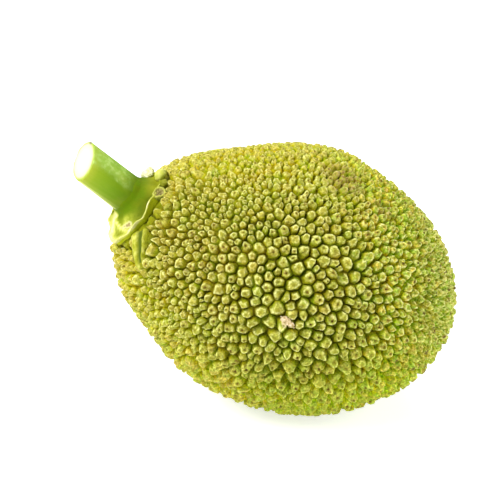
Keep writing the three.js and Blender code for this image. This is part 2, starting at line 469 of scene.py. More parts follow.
def corner_points(points, triangles):
    """The point where three cells meet: between the triangle's centroid and circumcentre."""
    a, b, c = (points[triangles[:, k]] for k in range(3))
    sides = [np.sum((p - q) ** 2, axis=1) for p, q in ((b, c), (c, a), (a, b))]
    weights = np.stack([
        sides[0] * (sides[1] + sides[2] - sides[0]),
        sides[1] * (sides[2] + sides[0] - sides[1]),
        sides[2] * (sides[0] + sides[1] - sides[2]),
    ], axis=1)
    weights = np.clip(weights / weights.sum(1, keepdims=True), 0.12, 0.6)
    weights = 0.6 * weights / weights.sum(1, keepdims=True) + 0.4 / 3
    return weights[:, :1] * a + weights[:, 1:2] * b + weights[:, 2:] * c


def cells_around(triangles, count):
    """For each knob, the triangles around it in order, which are the corners of its cell."""
    following = [dict() for _ in range(count)]
    owner = {}
    for index, (a, b, c) in enumerate(triangles):
        for tip, start, end in ((a, b, c), (b, c, a), (c, a, b)):
            following[tip][start] = end
            owner[tip, start] = index
    cells = []
    for tip in range(count):
        start = first = next(iter(following[tip]))
        ring = []
        while True:
            ring.append(owner[tip, start])
            start = following[tip][start]
            if start == first:
                break
        cells.append(ring)
    return cells


# ---- The skin: one closed mesh with a knob on every cell -------------------------------------

# A knob is built in rings: how far each reaches, as a share of the cell's radius, and how far it
# lies below the top, as a share of the knob's height. The first value is a pointed knob's, which
# tapers to a small crater, and the second a broad one's, which is a flat-topped column.
FOOT_REACH, FOOT_FALL = (0.91, 0.91), (0.62, 0.58)
CREST_REACH, CREST_FALL = (0.42, 0.58), (0.07, 0.06)
HOLLOW_REACH, HOLLOW_FALL = (0.20, 0.27), (0.01, 0.04)
MIDDLE_FALL = (0.05, 0.15)

# How the knobs differ from each other.
BROAD_SPREAD = 0.22  # of how broad or pointed they are
FATNESS = (0.90, 1.05)
LEAN = 0.10  # how far the tops are off the middle
SLOPE = 0.24  # how steeply the tops are tilted
OVAL = 0.20
THREE_SIDED = 0.17
NOTCH = 0.55  # depth of the cleft in one side of the top
NOTCH_WIDTH = 0.6  # radians
ROUNDNESS = 0.55  # of the top's outline: at 0 it follows its cell's
LESS_ROUND, LESS_ROUND_REACH = 0.45, (0.060, 0.080)  # near the stalk's foot
CREST_LIMIT = 0.93  # share of the foot's reach
CREST_WOBBLE = 0.14
FOOT_WOBBLE = 0.05
CREST_BUMPS = 0.50 * MM
HOLLOW_BUMPS = 0.45 * MM
DENT_VARIETY = 0.26  # how much deeper the dent is in the most withered knobs
LEAN_UP = 0.34  # how far the tops away from the belly are tilted back to face it

# The pale rim of the top, partly its own paleness and partly a painted highlight: how bright it
# is, how much brighter on the side away from the belly, where it is a painted reflection of the
# floor, how much less that differs on a broad knob, how much duller the rim is on a pointed knob
# and in a notch, what is added to each of its points at random, and the brightest that it gets.
RIM_PALE_AND_HIGHLIGHT, RIM_REFLECTION_FAR_SIDE = 0.78, 0.60
EVENER_ON_BROAD, DULLER_ON_POINTED, DULLER_IN_NOTCH = 0.22, 0.38, 1.2
RIM_PATCHES, RIM_LIMIT = (-0.45, 0.35), 1.05

# Clefts: some corners open into a dark hole between three knobs, and twins share a shallow one.
CLEFT_DEPTHS = (0.85, 1.1)
HOLE_DEPTH = 0.15
HOLE_IN_CREST = 0.24
HOLE_IN_FOOT = 0.22
TWIN_CLEFT = 0.72
BESIDE_TWIN = 0.55  # how much a twin's outline still reaches out beside where it is joined
FOOT_JOINED, CREST_JOINED = 0.97, 0.90  # how far twins reach where they are joined
FOOT_RAISED = 0.55  # and how much less deep their feet are there
TWIN_CROWN = 0.1
RING_CROWN = 0.16  # how green the smooth ring round the collar is, as a height up a knob

KNOB_LAYERS = ("crown", "rim", "pit", "tone", "wear", "bare")


class Skin:
    """The rind's points so far, with the value of every layer at each of them."""

    def __init__(self):
        self.points, self.faces, self.count = [], [], 0
        self.layers = {name: [] for name in KNOB_LAYERS}

    def add(self, points, **layers):
        """Adds points and says what number the first of them has."""
        first = self.count
        self.count += points.size // 3
        self.points.append(points.reshape(-1, 3))
        for name in KNOB_LAYERS:
            self.layers[name].append((layers[name] * np.ones(points.shape[:-1])).ravel())
        return first

    def finish(self, name):
        points = np.concatenate(self.points)
        points[:, 2] = np.maximum(points[:, 2], 0)
        layers = {key: np.concatenate(values) for key, values in self.layers.items()}
        return make_object(name, points, self.faces, layers)


def choose_twins(triangles, count, rng):
    """Pairs of neighbouring knobs that have grown together: each knob's partner, or -1."""
    partner = np.full(count, -1)
    edges = np.unique(np.sort(triangles[:, [0, 1, 1, 2, 2, 0]].reshape(-1, 2), axis=1), axis=0)
    paired = 0
    for a, b in edges[rng.permutation(len(edges))]:
        if partner[a] < 0 and partner[b] < 0:
            partner[a], partner[b] = b, a
            paired += 2
        if paired >= TWINS * count:
            break
    return partner


def twin_joins(ids, cells, partner, triangles):
    """1 where each knob's outline faces its twin, less beside that, and 0 elsewhere."""
    sides = len(cells[ids[0]])
    join = np.zeros((len(ids), 2 * sides))
    for row, knob in enumerate(ids):
        if partner[knob] < 0:
            continue
        near = [partner[knob] in triangles[corner] for corner in cells[knob]]
        for k in range(sides):
            if near[k] and near[(k + 1) % sides]:
                join[row, 2 * k + 1] = 1.0
                join[row, 2 * k] = join[row, (2 * k + 2) % (2 * sides)] = BESIDE_TWIN
    return join


def between_forms(measure, broad):
    """A measure of the knobs' rings, between the pointed form's and the broad one's."""
    return measure[0] + (measure[1] - measure[0]) * broad


def along_surface(vectors, normals):
    """The vectors without the part of them that stands up from the surface."""
    return vectors - np.sum(vectors * normals, axis=-1, keepdims=True) * normals


def add_corners(skin, surface, places, triangles, partner, rng):
    """Adds the points at the bottom of the clefts. Gives the places over them and their holes."""
    corners = surface.onto(corner_points(places, triangles))
    rise = knob_rise(corners)
    height = KNOB_HEIGHT * knob_spacing(corners) * rng.uniform(*CLEFT_DEPTHS, len(corners))
    hole = rng.random(len(corners)) ** 2
    height *= 1 + HOLE_DEPTH * hole
    inside_twins = np.array([
        any(partner[t[k]] == t[(k + 1) % 3] for k in range(3)) for t in triangles
    ])
    height[inside_twins] *= TWIN_CLEFT
    depth = height * rise + GROOVE_DEPTH * (1 - rise)
    skin.add(corners - surface.normals(corners) * depth[:, None],
             crown=TWIN_CROWN * inside_twins + RING_CROWN * (1 - rise),
             rim=0.0, pit=0.0, tone=0.5, wear=0.5, bare=1 - rise)
    return corners, hole


def draw_forms(places, rng):
    """What sets each knob apart from the others."""
    count = len(places)
    return {
        "middle": places,
        "form": np.clip(broad_knobs(places) + rng.normal(0, BROAD_SPREAD, count), 0, 1),
        "height": KNOB_HEIGHT * knob_spacing(places),
        "sunk": KNOB_SUNK * rng.random(count) ** 1.5,
        "fatness": rng.uniform(*FATNESS, count),
        "lean": rng.normal(0, LEAN, (count, 2)),
        "slope": rng.normal(0, SLOPE, (count, 2)),
        "oval": rng.uniform(0, OVAL, count),
        "oval_turn": rng.uniform(0, math.pi, count),
        "three": rng.uniform(0, THREE_SIDED, count),
        "three_turn": rng.uniform(0, math.tau, count),
        "notch": NOTCH * rng.random(count),
        "notch_turn": rng.uniform(0, math.tau, count),
        "tone": rng.random(count),
        "wear": rng.random(count),
    }


class KnobGroup:
    """The knobs whose cells have the same number of sides, shaped together."""

    def __init__(self, surface, forms, outline, foot, join):
        self.surface, self.foot, self.join = surface, foot, join
        for name, values in forms.items():
            # A column for each measure, so that it spreads over the points of a ring.
            setattr(self, name, values if values.ndim > 1 else values[:, None])
        self.rise = knob_rise(self.middle)[:, None]
        self.normal = surface.normals(self.middle)
        spoke = along_surface(outline - self.middle[:, None], self.normal[:, None])
        self.length = np.linalg.norm(spoke, axis=2)
        self.mean_length = self.length.mean(axis=1, keepdims=True)
        self.spoke = spoke / self.length[..., None]
        self.side = self.spoke[:, 0]
        self.up = np.cross(self.normal, self.side)
        self.turn = np.arctan2(np.sum(self.spoke * self.up[:, None], axis=2),
                               np.sum(self.spoke * self.side[:, None], axis=2))
        self.outward = unit(along_surface(self.middle - BELLY, self.normal))
        from_notch = (self.turn - self.notch_turn + math.pi) % math.tau - math.pi
        self.cleft = self.notch * np.exp(-(from_notch / NOTCH_WIDTH) ** 2) * (1 - join)

    def reaches(self, hole, rng):
        """How far the foot and the crest reach along each spoke."""
        foot_share = between_forms(FOOT_REACH, self.form)
        foot_share = foot_share + (FOOT_JOINED - foot_share) * self.join
        crest_share = between_forms(CREST_REACH, self.form) * self.fatness
        crest_share = crest_share + (CREST_JOINED - crest_share) * self.join
        from_stalk = np.linalg.norm(self.middle - STALK_FOOT, axis=1)[:, None]
        roundness = ROUNDNESS - LESS_ROUND * (1 - ramp(from_stalk, *LESS_ROUND_REACH))
        reach = (1 - roundness) * self.length + roundness * 0.96 * self.mean_length
        shape = 1 + self.oval * np.cos(2 * (self.turn - self.oval_turn))
        shape += self.three * np.cos(3 * (self.turn - self.three_turn))
        shape += CREST_WOBBLE * rng.uniform(-1, 1, shape.shape)
        shape[:, ::2] *= 1 - HOLE_IN_CREST * hole[self.foot]
        shape *= 1 - self.cleft
        foot = self.length * foot_share
        foot = foot * (1 - FOOT_WOBBLE * rng.uniform(0, 1, shape.shape) * (1 - self.join))
        foot = foot * (1 - 0.3 * self.cleft)
        foot[:, ::2] *= 1 - HOLE_IN_FOOT * hole[self.foot]
        return foot, np.minimum(reach * crest_share * shape, CREST_LIMIT * foot)

    def rim_paleness_and_highlight(self, rng):
        """The pale rim, partly painted highlight: broken in places, and brightest on the side away
        from the belly, where it is a painted reflection of the floor.
        """
        facing_out = np.sum(self.spoke * self.outward[:, None], axis=2)
        strength = RIM_PALE_AND_HIGHLIGHT + (RIM_REFLECTION_FAR_SIDE - EVENER_ON_BROAD * self.form) * facing_out
        strength -= DULLER_ON_POINTED * (1 - self.form) + DULLER_IN_NOTCH * self.cleft
        return np.clip(strength + rng.uniform(*RIM_PATCHES, strength.shape), 0, RIM_LIMIT)

    def place_ring(self, steps, fall, bumps, rng):
        """A ring of points on each knob, fall being their depth in knob heights."""
        tilt = self.slope[:, :1, None] * self.side[:, None]
        tilt = tilt + self.slope[:, 1:, None] * self.up[:, None]
        tilt = tilt - LEAN_UP * (1 - 0.8 * self.form)[..., None] * self.outward[:, None]
        below = fall * self.height + self.sunk
        below = below + np.sum(steps * tilt, axis=2) * (fall < 0.5)
        below = below + bumps * rng.uniform(-1, 1, below.shape)
        below = np.clip(below, 0, None) * self.rise + GROOVE_DEPTH * (1 - self.rise)
        spot = self.surface.onto(self.middle[:, None] + steps)
        return spot - self.normal[:, None] * below[..., None]

    def rings(self, hole, rng):
        """Each ring's steps from the middle, fall, bumps, crown, rim and pit."""
        foot_reach, crest_reach = self.reaches(hole, rng)
        rim = self.rim_paleness_and_highlight(rng)
        shift = self.lean[:, :1] * self.side + self.lean[:, 1:] * self.up
        shift *= self.mean_length * (1 - self.form) * 0.8 + 0.2 * self.mean_length
        shift = shift[:, None]
        foot_fall = between_forms(FOOT_FALL, self.form) * (1 - FOOT_RAISED * self.join[:, ::2])
        crest_fall = between_forms(CREST_FALL, self.form) + 0.7 * self.cleft
        even_reach = 0.5 * crest_reach + 0.5 * crest_reach.mean(axis=1, keepdims=True)
        hollow_share = between_forms(HOLLOW_REACH, self.form)
        hollow_share = hollow_share / between_forms(CREST_REACH, self.form)
        hollow_fall = between_forms(HOLLOW_FALL, self.form) * np.ones(crest_reach.shape)
        middle_fall = between_forms(MIDDLE_FALL, self.form) + DENT_VARIETY * (self.wear - 0.25)
        foot_steps = self.spoke[:, ::2] * foot_reach[:, ::2, None] + shift * 0.15
        crest_steps = self.spoke * crest_reach[..., None] + shift
        hollow_steps = self.spoke * (even_reach * hollow_share)[..., None] + shift
        return (
            (foot_steps, foot_fall, 0.0, (1 - foot_fall) * 0.9, 0.0, 0.0),
            (crest_steps, crest_fall, CREST_BUMPS, 1.0, rim, 0.0),
            (hollow_steps, hollow_fall, HOLLOW_BUMPS, 1.0, 0.0, 0.5),
            (shift, middle_fall, 0.0, 1.0, 0.0, 1.0),
        )


def knob_faces(foot, starts):
    """The faces of a group of knobs, from its rings' first points and the corners round it."""
    faces = []
    sides = foot.shape[1]
    for row, a in enumerate(foot):
        b, c, d = (start + row * size for start, size in zip(starts, (sides, 2 * sides, 2 * sides)))
        e = starts[3] + row
        for k in range(sides):
            nxt = (k + 1) % sides
            c0, c1, c2 = c + 2 * k, c + 2 * k + 1, c + 2 * nxt
            d0, d1, d2 = d + 2 * k, d + 2 * k + 1, d + 2 * nxt
            faces += [
                (a[k], b + nxt, b + k), (a[k], a[nxt], b + nxt),
                (b + k, c1, c0), (b + k, b + nxt, c1), (b + nxt, c2, c1),
                (c0, c1, d0), (c1, d1, d0), (c1, c2, d1), (c2, d2, d1),
                (d0, d1, e), (d1, d2, e),
            ]
    return faces


def build_skin(surface, places, triangles, rng):
    skin = Skin()
    cells = cells_around(triangles, len(places))
    partner = choose_twins(triangles, len(places), rng)
    corners, hole = add_corners(skin, surface, places, triangles, partner, rng)
    forms = draw_forms(places, rng)
    for sides in sorted(set(len(cell) for cell in cells)):
        ids = np.array([i for i, cell in enumerate(cells) if len(cell) == sides])
        foot = np.array([cells[i] for i in ids])
        ring = corners[foot]
        between = (ring + np.roll(ring, -1, axis=1)) / 2
        outline = np.stack([ring, between], axis=2).reshape(len(ids), 2 * sides, 3)
        own = {name: values[ids] for name, values in forms.items()}
        group = KnobGroup(surface, own, outline, foot, twin_joins(ids, cells, partner, triangles))
        starts = []
        for steps, fall, bumps, crown, rim, pit in group.rings(hole, rng):
            starts.append(skin.add(
                group.place_ring(steps, fall, bumps, rng),
                crown=crown * group.rise + RING_CROWN * (1 - group.rise),
                rim=rim * group.rise, pit=pit * group.rise,
                tone=group.tone, wear=group.wear, bare=1 - group.rise))
        skin.faces += knob_faces(foot, starts)
    return skin.finish("rind")


def knob_rise(points):
    """0 in the smooth ring round the collar and under the ribs, 1 where the knobs stand up."""
    local = in_stalk_frame(points)
    from_line = np.linalg.norm(local[..., :2], axis=-1)
    turn = np.arctan2(local[..., 1], local[..., 0])
    narrower = 0.9 * on_upper_side(turn) + 0.75 * turn_hump(turn, *NARROW_TURNS)
    start = lip_reach(turn) + GROOVE_WIDTH * (1 - narrower)
    clear_of_ring = ramp(from_line, start, start + GROOVE_RISE)
    clear_of_ring = np.where(local[..., 2] > STALK_SIDE, clear_of_ring, 1.0)
    length = RIBS_END - RIBS_START
    share = np.clip((points - RIBS_START) @ length / (length @ length), 0, RIBS_CLEARED)
    gap = np.linalg.norm(points - RIBS_START - share[..., None] * length, axis=-1)
    half_width = RIBS_HALF_WIDTH * (1 - RIBS_TAPER * share)
    return clear_of_ring * ramp(gap, half_width - RIBS_OVERLAP, half_width + RIBS_MARGIN)


def build_rind(surface):
    rng = np.random.default_rng(RIND_SEED)
    knobs = relax_knobs(scatter_knobs(surface, rng), surface, rng)
    triangles = flip_long_edges(knobs, hull_triangles(unit(knobs - surface.middle)))
    return build_skin(surface, knobs, triangles, rng)


# ---- Stalk and collar -----------------------------------------------------------------------

def ring_faces(rows, columns, wrap_rows=False):
    """Quads of a grid whose columns run all the way round."""
    faces = []
    for row in range(rows if wrap_rows else rows - 1):
        below, above = row * columns, (row + 1) % rows * columns
        for k in range(columns):
            nxt = (k + 1) % columns
            faces.append((below + k, below + nxt, above + nxt, above + k))
    return faces


def make_tube(name, rings, ends, layers, inside_out=False):
    """A tube through rings of points, shut by a middle point at each end.

    A layer is its values on the rings, one for each ring or each point, and at the two ends.
    """
    rows, columns = rings.shape[:2]
    foot, crown, top = rows * columns, rows * columns + 1, (rows - 1) * columns
    faces = ring_faces(rows, columns)
    for k in range(columns):
        nxt = (k + 1) % columns
        faces += [(nxt, k, foot), (top + k, top + nxt, crown)]
    if inside_out:
        faces = [face[::-1] for face in faces]
    spread = np.ones((rows, columns))
    return make_object(name, np.concatenate([rings.reshape(-1, 3), ends]), faces, {
        key: np.append(np.reshape(values, (rows, -1)) * spread, at_ends)
        for key, (values, at_ends) in layers.items()
    })


def all_round(columns):
    return np.linspace(0, math.tau, columns, endpoint=False)


def turn_hump(turn, middle, width):
    """1 at a turn (degrees), fading to 0 over a width (degrees) to either side."""
    away = (turn - math.radians(middle) + math.pi) % math.tau - math.pi
    return np.exp(-(away / math.radians(width)) ** 2)


def ripples(turn, terms):
    """A wavy value round the stalk, as a sum of (waves per turn, height, offset)."""
    return sum(height * np.sin(waves * turn + offset) for waves, height, offset in terms)


def stalk_radius(height):
    return STALK_RADIUS + STALK_FLARE * np.exp(-np.clip(height, 0, None) / FLARE_LENGTH)


def build_stalk():
    """A slightly fluted rod: its side from the foot up, then over the cut edge to the pith."""
    turn = all_round(STALK_COLUMNS)
    slope = math.tan(math.radians(CUT_SLANT)) * np.cos(turn - math.radians(CUT_TURN))
    fluting = FLUTE_DEPTH * np.cos(STALK_FLUTES * turn)
    dents = ripples(turn, STALK_DENTS)
    # A short torn sliver stands up where the knife left the stalk.
    sliver = TORN_HEIGHT * turn_hump(turn, TORN_TURN, TORN_WIDTH)
    top = CUT - slope * STALK_RADIUS - CUT_BEVEL
    top = top + sliver * (0.75 + 0.25 * np.sin(TORN_JAGS * turn))
    rings, along, side = [], [], []
    for step in np.linspace(0, 1, STALK_ROWS):
        height = STALK_SUNK + (top - STALK_SUNK) * step
        radius = stalk_radius(height) + fluting + dents * (0.6 + 0.4 * math.sin(5 * step))
        radius = radius + STALK_FIBRES * np.sin(23 * turn + 9 * step)
        rings.append(round_ring(turn, radius, height))
        along.append(step)
        side.append(1.0)
    for reach, rise in CUT_PROFILE:
        radius = (STALK_RADIUS + fluting) * reach
        height = CUT - slope * radius - (1 - rise) * CUT_BEVEL
        height = height + sliver * max(0, 1 - (1 - reach) * TORN_FADE)
        height = height + CUT_RIPPLE * np.sin(9 * turn + 20 * reach) * reach
        rings.append(round_ring(turn, radius, height))
        along.append(1.0)
        side.append(max(0.0, 1 - (1 - reach) * GREEN_FADE))
    rings = np.array(rings)
    reach = np.linalg.norm(rings[..., :2], axis=2) / STALK_RADIUS
    ends = np.array([(0, 0, STALK_SUNK), (0, 0, CUT - (1 - CUT_PROFILE[-1][1]) * CUT_BEVEL)])
    return make_tube("stalk_skin", from_stalk_frame(rings), from_stalk_frame(ends), {
        "along": (along, [0, 1]), "side": (side, [1, 0]), "reach": (np.clip(reach, 0, 1), [0, 0]),
    })


def on_upper_side(turn):
    """1 on the collar's upper side, where old marks hide its lip, and 0 on its lower side."""
    return ramp(np.cos(turn - math.radians(UPPER_TURN)), -0.05, 0.55)


def lip_reach(turn):
    """Radius of the collar's lip, without its ripples."""
    radius = LIP_RADIUS + LIP_FLAP * np.cos(turn - math.radians(FLAP_TURN))
    return radius + TONGUE * turn_hump(turn, *TONGUE_TURNS) - TUCK * turn_hump(turn, *TUCK_TURNS)


def collar_lip(turn):
    """Radius and height of the collar's wavy lip, round the stalk."""
    towards_flap = np.cos(turn - math.radians(FLAP_TURN))
    height = LIP_HEIGHT - LIP_DROOP * np.clip(towards_flap, 0, 1) ** 3
    height = height - LIP_SUNK * on_upper_side(turn) + ripples(turn, LIP_WAVES)
    return lip_reach(turn) + ripples(turn, LIP_RIPPLES), height


def collar_section(turn):
    """Radius, height and paleness of points over the collar and back underneath, at each turn."""
    lip, level = collar_lip(turn)
    neck = stalk_radius(0)
    uneven = ripples(turn, PALE_PATCHES)
    fuller = FULLNESS * turn_hump(turn, *FULL_TURNS)
    here = np.array([
        np.stack([
            neck + (lip - neck) * out + beyond * MM,
            level * hang + above * MM + fuller * full,
            pale + ragged * uneven,
        ], axis=1)
        for (out, beyond), (hang, above), full, (pale, ragged) in COLLAR_SECTION
    ])
    before, ahead, beyond = (np.roll(here, shift, axis=0) for shift in (1, -1, -2))
    fine = np.stack([
        0.5 * (2 * here + (ahead - before) * t
               + (2 * before - 5 * here + 4 * ahead - beyond) * t ** 2
               + (3 * here - before - 3 * ahead + beyond) * t ** 3)
        for t in BETWEEN_POINTS
    ], axis=1).reshape(-1, *here.shape[1:])
    fine = (np.roll(fine, 1, axis=0) + 2 * fine + np.roll(fine, -1, axis=0)) / 4
    return np.moveaxis(fine, 2, 0)


def long_fold(turn, share):
    """1 on a long fold that turns in from the lip towards the stalk, and 0 beside it."""
    degrees = np.degrees(turn)
    line = 0.30 + 0.72 * ramp(degrees, 205, 262)
    fold = np.exp(-((share - line) / FOLD_WIDTH) ** 2)
    return fold * ramp(degrees, 200, 215) * (1 - ramp(degrees, 262, 272))


def dry_flap(turn, share):
    """How dry and whitish the lower flap is, most of all towards its edge."""
    degrees = np.degrees(turn)
    whiter = 0.34 + 0.60 * ramp(np.abs(np.radians(degrees - 220)), 0.10, 0.40)
    whiter = np.maximum(whiter, 0.95 * ramp(share, 0.70, 0.92))
    inner = np.where(degrees < 212, ramp(share, -0.05, 0.15), ramp(share, 0.02, 0.45))
    return np.clip(whiter * turn_hump(turn, 202, 46), 0, 1) * inner


def build_collar():
    """A wavy flange: up the inside of its neck, down the flare, over the lip, back underneath."""
    turn = all_round(COLLAR_COLUMNS)
    radius, height, pale = collar_section(turn)
    neck = stalk_radius(0)
    share = np.clip((radius - neck) / (collar_lip(turn)[0] - neck), 0, 1)
    upper = (height > COLLAR_UNDERSIDE) & (radius > neck)
    wrinkles = ripples(turn, WRINKLES) * share * (1.4 - share)
    fold = long_fold(turn, share)
    height = height + upper * (wrinkles + FOLD_HEIGHT * fold)
    pale = np.clip(pale, 0, 1) * (1 - 0.6 * on_upper_side(turn))
    # Along the fold's ridge the pale is partly dried tissue and partly a painted highlight; the
    # lower flap is pale where it is dry.
    pale = np.maximum(pale, upper * np.maximum(0.9 * fold, dry_flap(turn, share)))
    bright = on_upper_side(turn) * ramp(radius, 15 * MM, 22 * MM)
    # Rows under the lip, where a paler green is painted as painted light over its shadow.
    under_lip_painted_light = np.zeros_like(radius)
    under_lip_painted_light[len(under_lip_painted_light) * OUTSIDE_ROW // len(COLLAR_SECTION):] = 1
    points = from_stalk_frame(round_ring(turn, radius, height)).reshape(-1, 3)
    faces = [face[::-1] for face in ring_faces(*radius.shape, wrap_rows=True)]
    return make_object("collar_skin", points, faces, {
        "pale": pale.ravel(), "share": share.ravel(),
        "bright": bright.ravel(), "under_lip_painted_light": under_lip_painted_light.ravel(),
    })


# ---- Marks beside the collar ----------------------------------------------------------------

def stalk_frame_at(turn):
    """Axes at a turn round the stalk: away from it, round it, and out along its line."""
    cos, sin = math.cos(math.radians(turn)), math.sin(math.radians(turn))
    return np.array([(cos, sin, 0), (-sin, cos, 0), (0, 0, 1)]) @ STALK_AXES


def lumpy(directions, rng, height, waves):
    """A smooth uneven height for each direction: a few waves that cross each other."""
    total = np.zeros(len(directions))
    for _ in range(7):
        across = rng.normal(size=3) * waves
        total += np.sin(directions @ across + rng.uniform(0, math.tau))
    return height * total / 3


def build_lump(name, middle, axes, size, unevenness, waves, seed, dimple=0.0):
    """A closed rounded lump with an uneven skin, and a dimple in its outer end."""
    rng = np.random.default_rng(seed)
    bm = bmesh.new()
    bmesh.ops.create_icosphere(bm, subdivisions=5, radius=1)
    directions = np.array([v.co[:] for v in bm.verts])
    faces = [[v.index for v in f.verts] for f in bm.faces]
    bm.free()
    height = 1 + lumpy(directions, rng, unevenness, waves)
    height += lumpy(directions, rng, 0.25 * unevenness, 3 * waves)
    height -= dimple * np.exp(-((1 - directions[:, 2]) / 0.06) ** 2)
    local = directions * height[:, None] * np.array(size)
    return make_object(name, local @ axes + middle, faces, {"reach": directions[:, 2]})


def build_mark(name):
    """A lump beside the collar."""
    place, shape = MARKS[name]
    return build_lump(name, round_stalk(*place), stalk_frame_at(place[0]), **shape)


def build_latex(surface):
    """A dried smear of latex that sticks to the tips of a few knobs."""
    middle = surface.onto(np.array([LATEX]))
    normal = surface.normals(middle)[0]
    across = unit(np.cross(np.array(LATEX_RUNS), normal))
    axes = np.array([across, np.cross(normal, across), normal])
    return build_lump("latex_smear", middle[0] - LATEX_SUNK * normal, axes, **LATEX_SHAPE)


def build_scar():
    """The round scar of a bract: a short stub with a raised rim and a sunken, corky middle."""
    turn = all_round(SCAR_COLUMNS)
    wobble = 1 + ripples(turn, SCAR_RIPPLES)
    rings, rim, core = [], [], []
    for reach, height, pale in SCAR_PROFILE:
        inside = float(reach < SCAR_CORE)
        level = height * MM + 0.25 * MM * np.sin(5 * turn + 1) * reach
        level = level + 0.22 * MM * np.sin(9 * turn + 7 * reach) * inside
        rings.append(round_ring(turn, SCAR_RADIUS * reach * wobble, level) * (1, SCAR_OVAL, 1))
        rim.append(pale)
        core.append(inside)
    away, along, up = stalk_frame_at(SCAR[0])
    # The scar faces partly away from the stalk.
    out = unit(0.7 * up + 0.8 * away)
    axes = np.array([unit(np.cross(along, out)), along, out])
    ends = np.array([(0, 0, SCAR_PROFILE[0][1] * MM), (0, 0, SCAR_PROFILE[-1][1] * MM)])
    middle = round_stalk(*SCAR)
    return make_tube("bract_scar", np.array(rings) @ axes + middle, ends @ axes + middle, {
        "pale": (rim, [0, 0]), "core": (core, [0, 1]),
    })


def build_ribs(surface):
    """Two smooth ribs side by side, rooted in the rind, that taper away at both ends."""
    across = np.linspace(-1, 1, RIBS_COLUMNS)
    section = np.interp(across, *zip(*RIBS_SECTION)) * MM
    furrow = np.exp(-((across - FURROW[0]) / FURROW[1]) ** 4)
    along = unit(RIBS_END - RIBS_START)
    rings, dark = [], []
    for step in np.linspace(0, 1, RIBS_ROWS):
        middle = surface.onto((RIBS_START + (RIBS_END - RIBS_START) * step)[None])
        normal = surface.normals(middle)[0]
        side = unit(np.cross(normal, along))
        taper = float(ramp(step, -0.25, 0.10) * (1 - ramp(step, 0.75, 1.0)))
        width = RIBS_HALF_WIDTH * (1 - RIBS_TAPER * step) * (1 + 0.06 * math.sin(17 * step))
        bend = 0.4 * MM * math.sin(6 * step)
        top = -GROOVE_DEPTH + section * (0.5 + 0.5 * taper) - RIBS_SUNK * (1 - taper)
        top = top + 0.12 * MM * np.sin(29 * step + 3 * across)
        upper = middle + side * (across * width + bend)[:, None] + normal * top[:, None]
        lower = upper[::-1][1:-1] - normal * RIBS_ROOT
        rings.append(np.concatenate([upper, lower]))
        dark.append(np.concatenate([furrow * taper, np.zeros(len(lower))]))
    rings = np.array(rings)
    ends = rings[[0, -1]].mean(axis=1)
    return make_tube("collar_ribs", rings, ends, {"furrow": (dark, [0, 0])}, inside_out=True)


# ---- Materials ------------------------------------------------------------------------------

class Value:
    """What a node gives out. Arithmetic on it adds more nodes."""

    def __init__(self, shader, socket):
        self.shader, self.socket = shader, socket

    def __add__(self, other):
        return self.shader.math("ADD", self, other)

    def __mul__(self, other):
        return self.shader.math("MULTIPLY", self, other)

    def __sub__(self, other):
        return self.shader.math("SUBTRACT", self, other)

    def __radd__(self, other):
        return self.shader.math("ADD", other, self)

    def __rsub__(self, other):
        return self.shader.math("SUBTRACT", other, self)

    def larger(self, other):
        return self.shader.math("MAXIMUM", self, other)

    def step(self, low, high, start=0.0, end=1.0):
        """start below low, end above high, and a smooth step between them."""
        node = self.shader.node("ShaderNodeMapRange", interpolation_type="SMOOTHSTEP")
        for socket, item in zip(node.inputs, (self, low, high, start, end)):
            self.shader.feed(socket, item)
        return Value(self.shader, node.outputs[0])

    def ramp(self, *stops):
        """The colour for each value, between stops that each give a value and its colour."""
        node = self.shader.node("ShaderNodeValToRGB")
        elements = node.color_ramp.elements
        while len(elements) < len(stops):
            elements.new(0.5)
        for element, (position, colour) in zip(elements, stops):
            element.position = position
            element.color = (*colour, 1)
        self.shader.feed(node.inputs[0], self)
        return Value(self.shader, node.outputs[0])


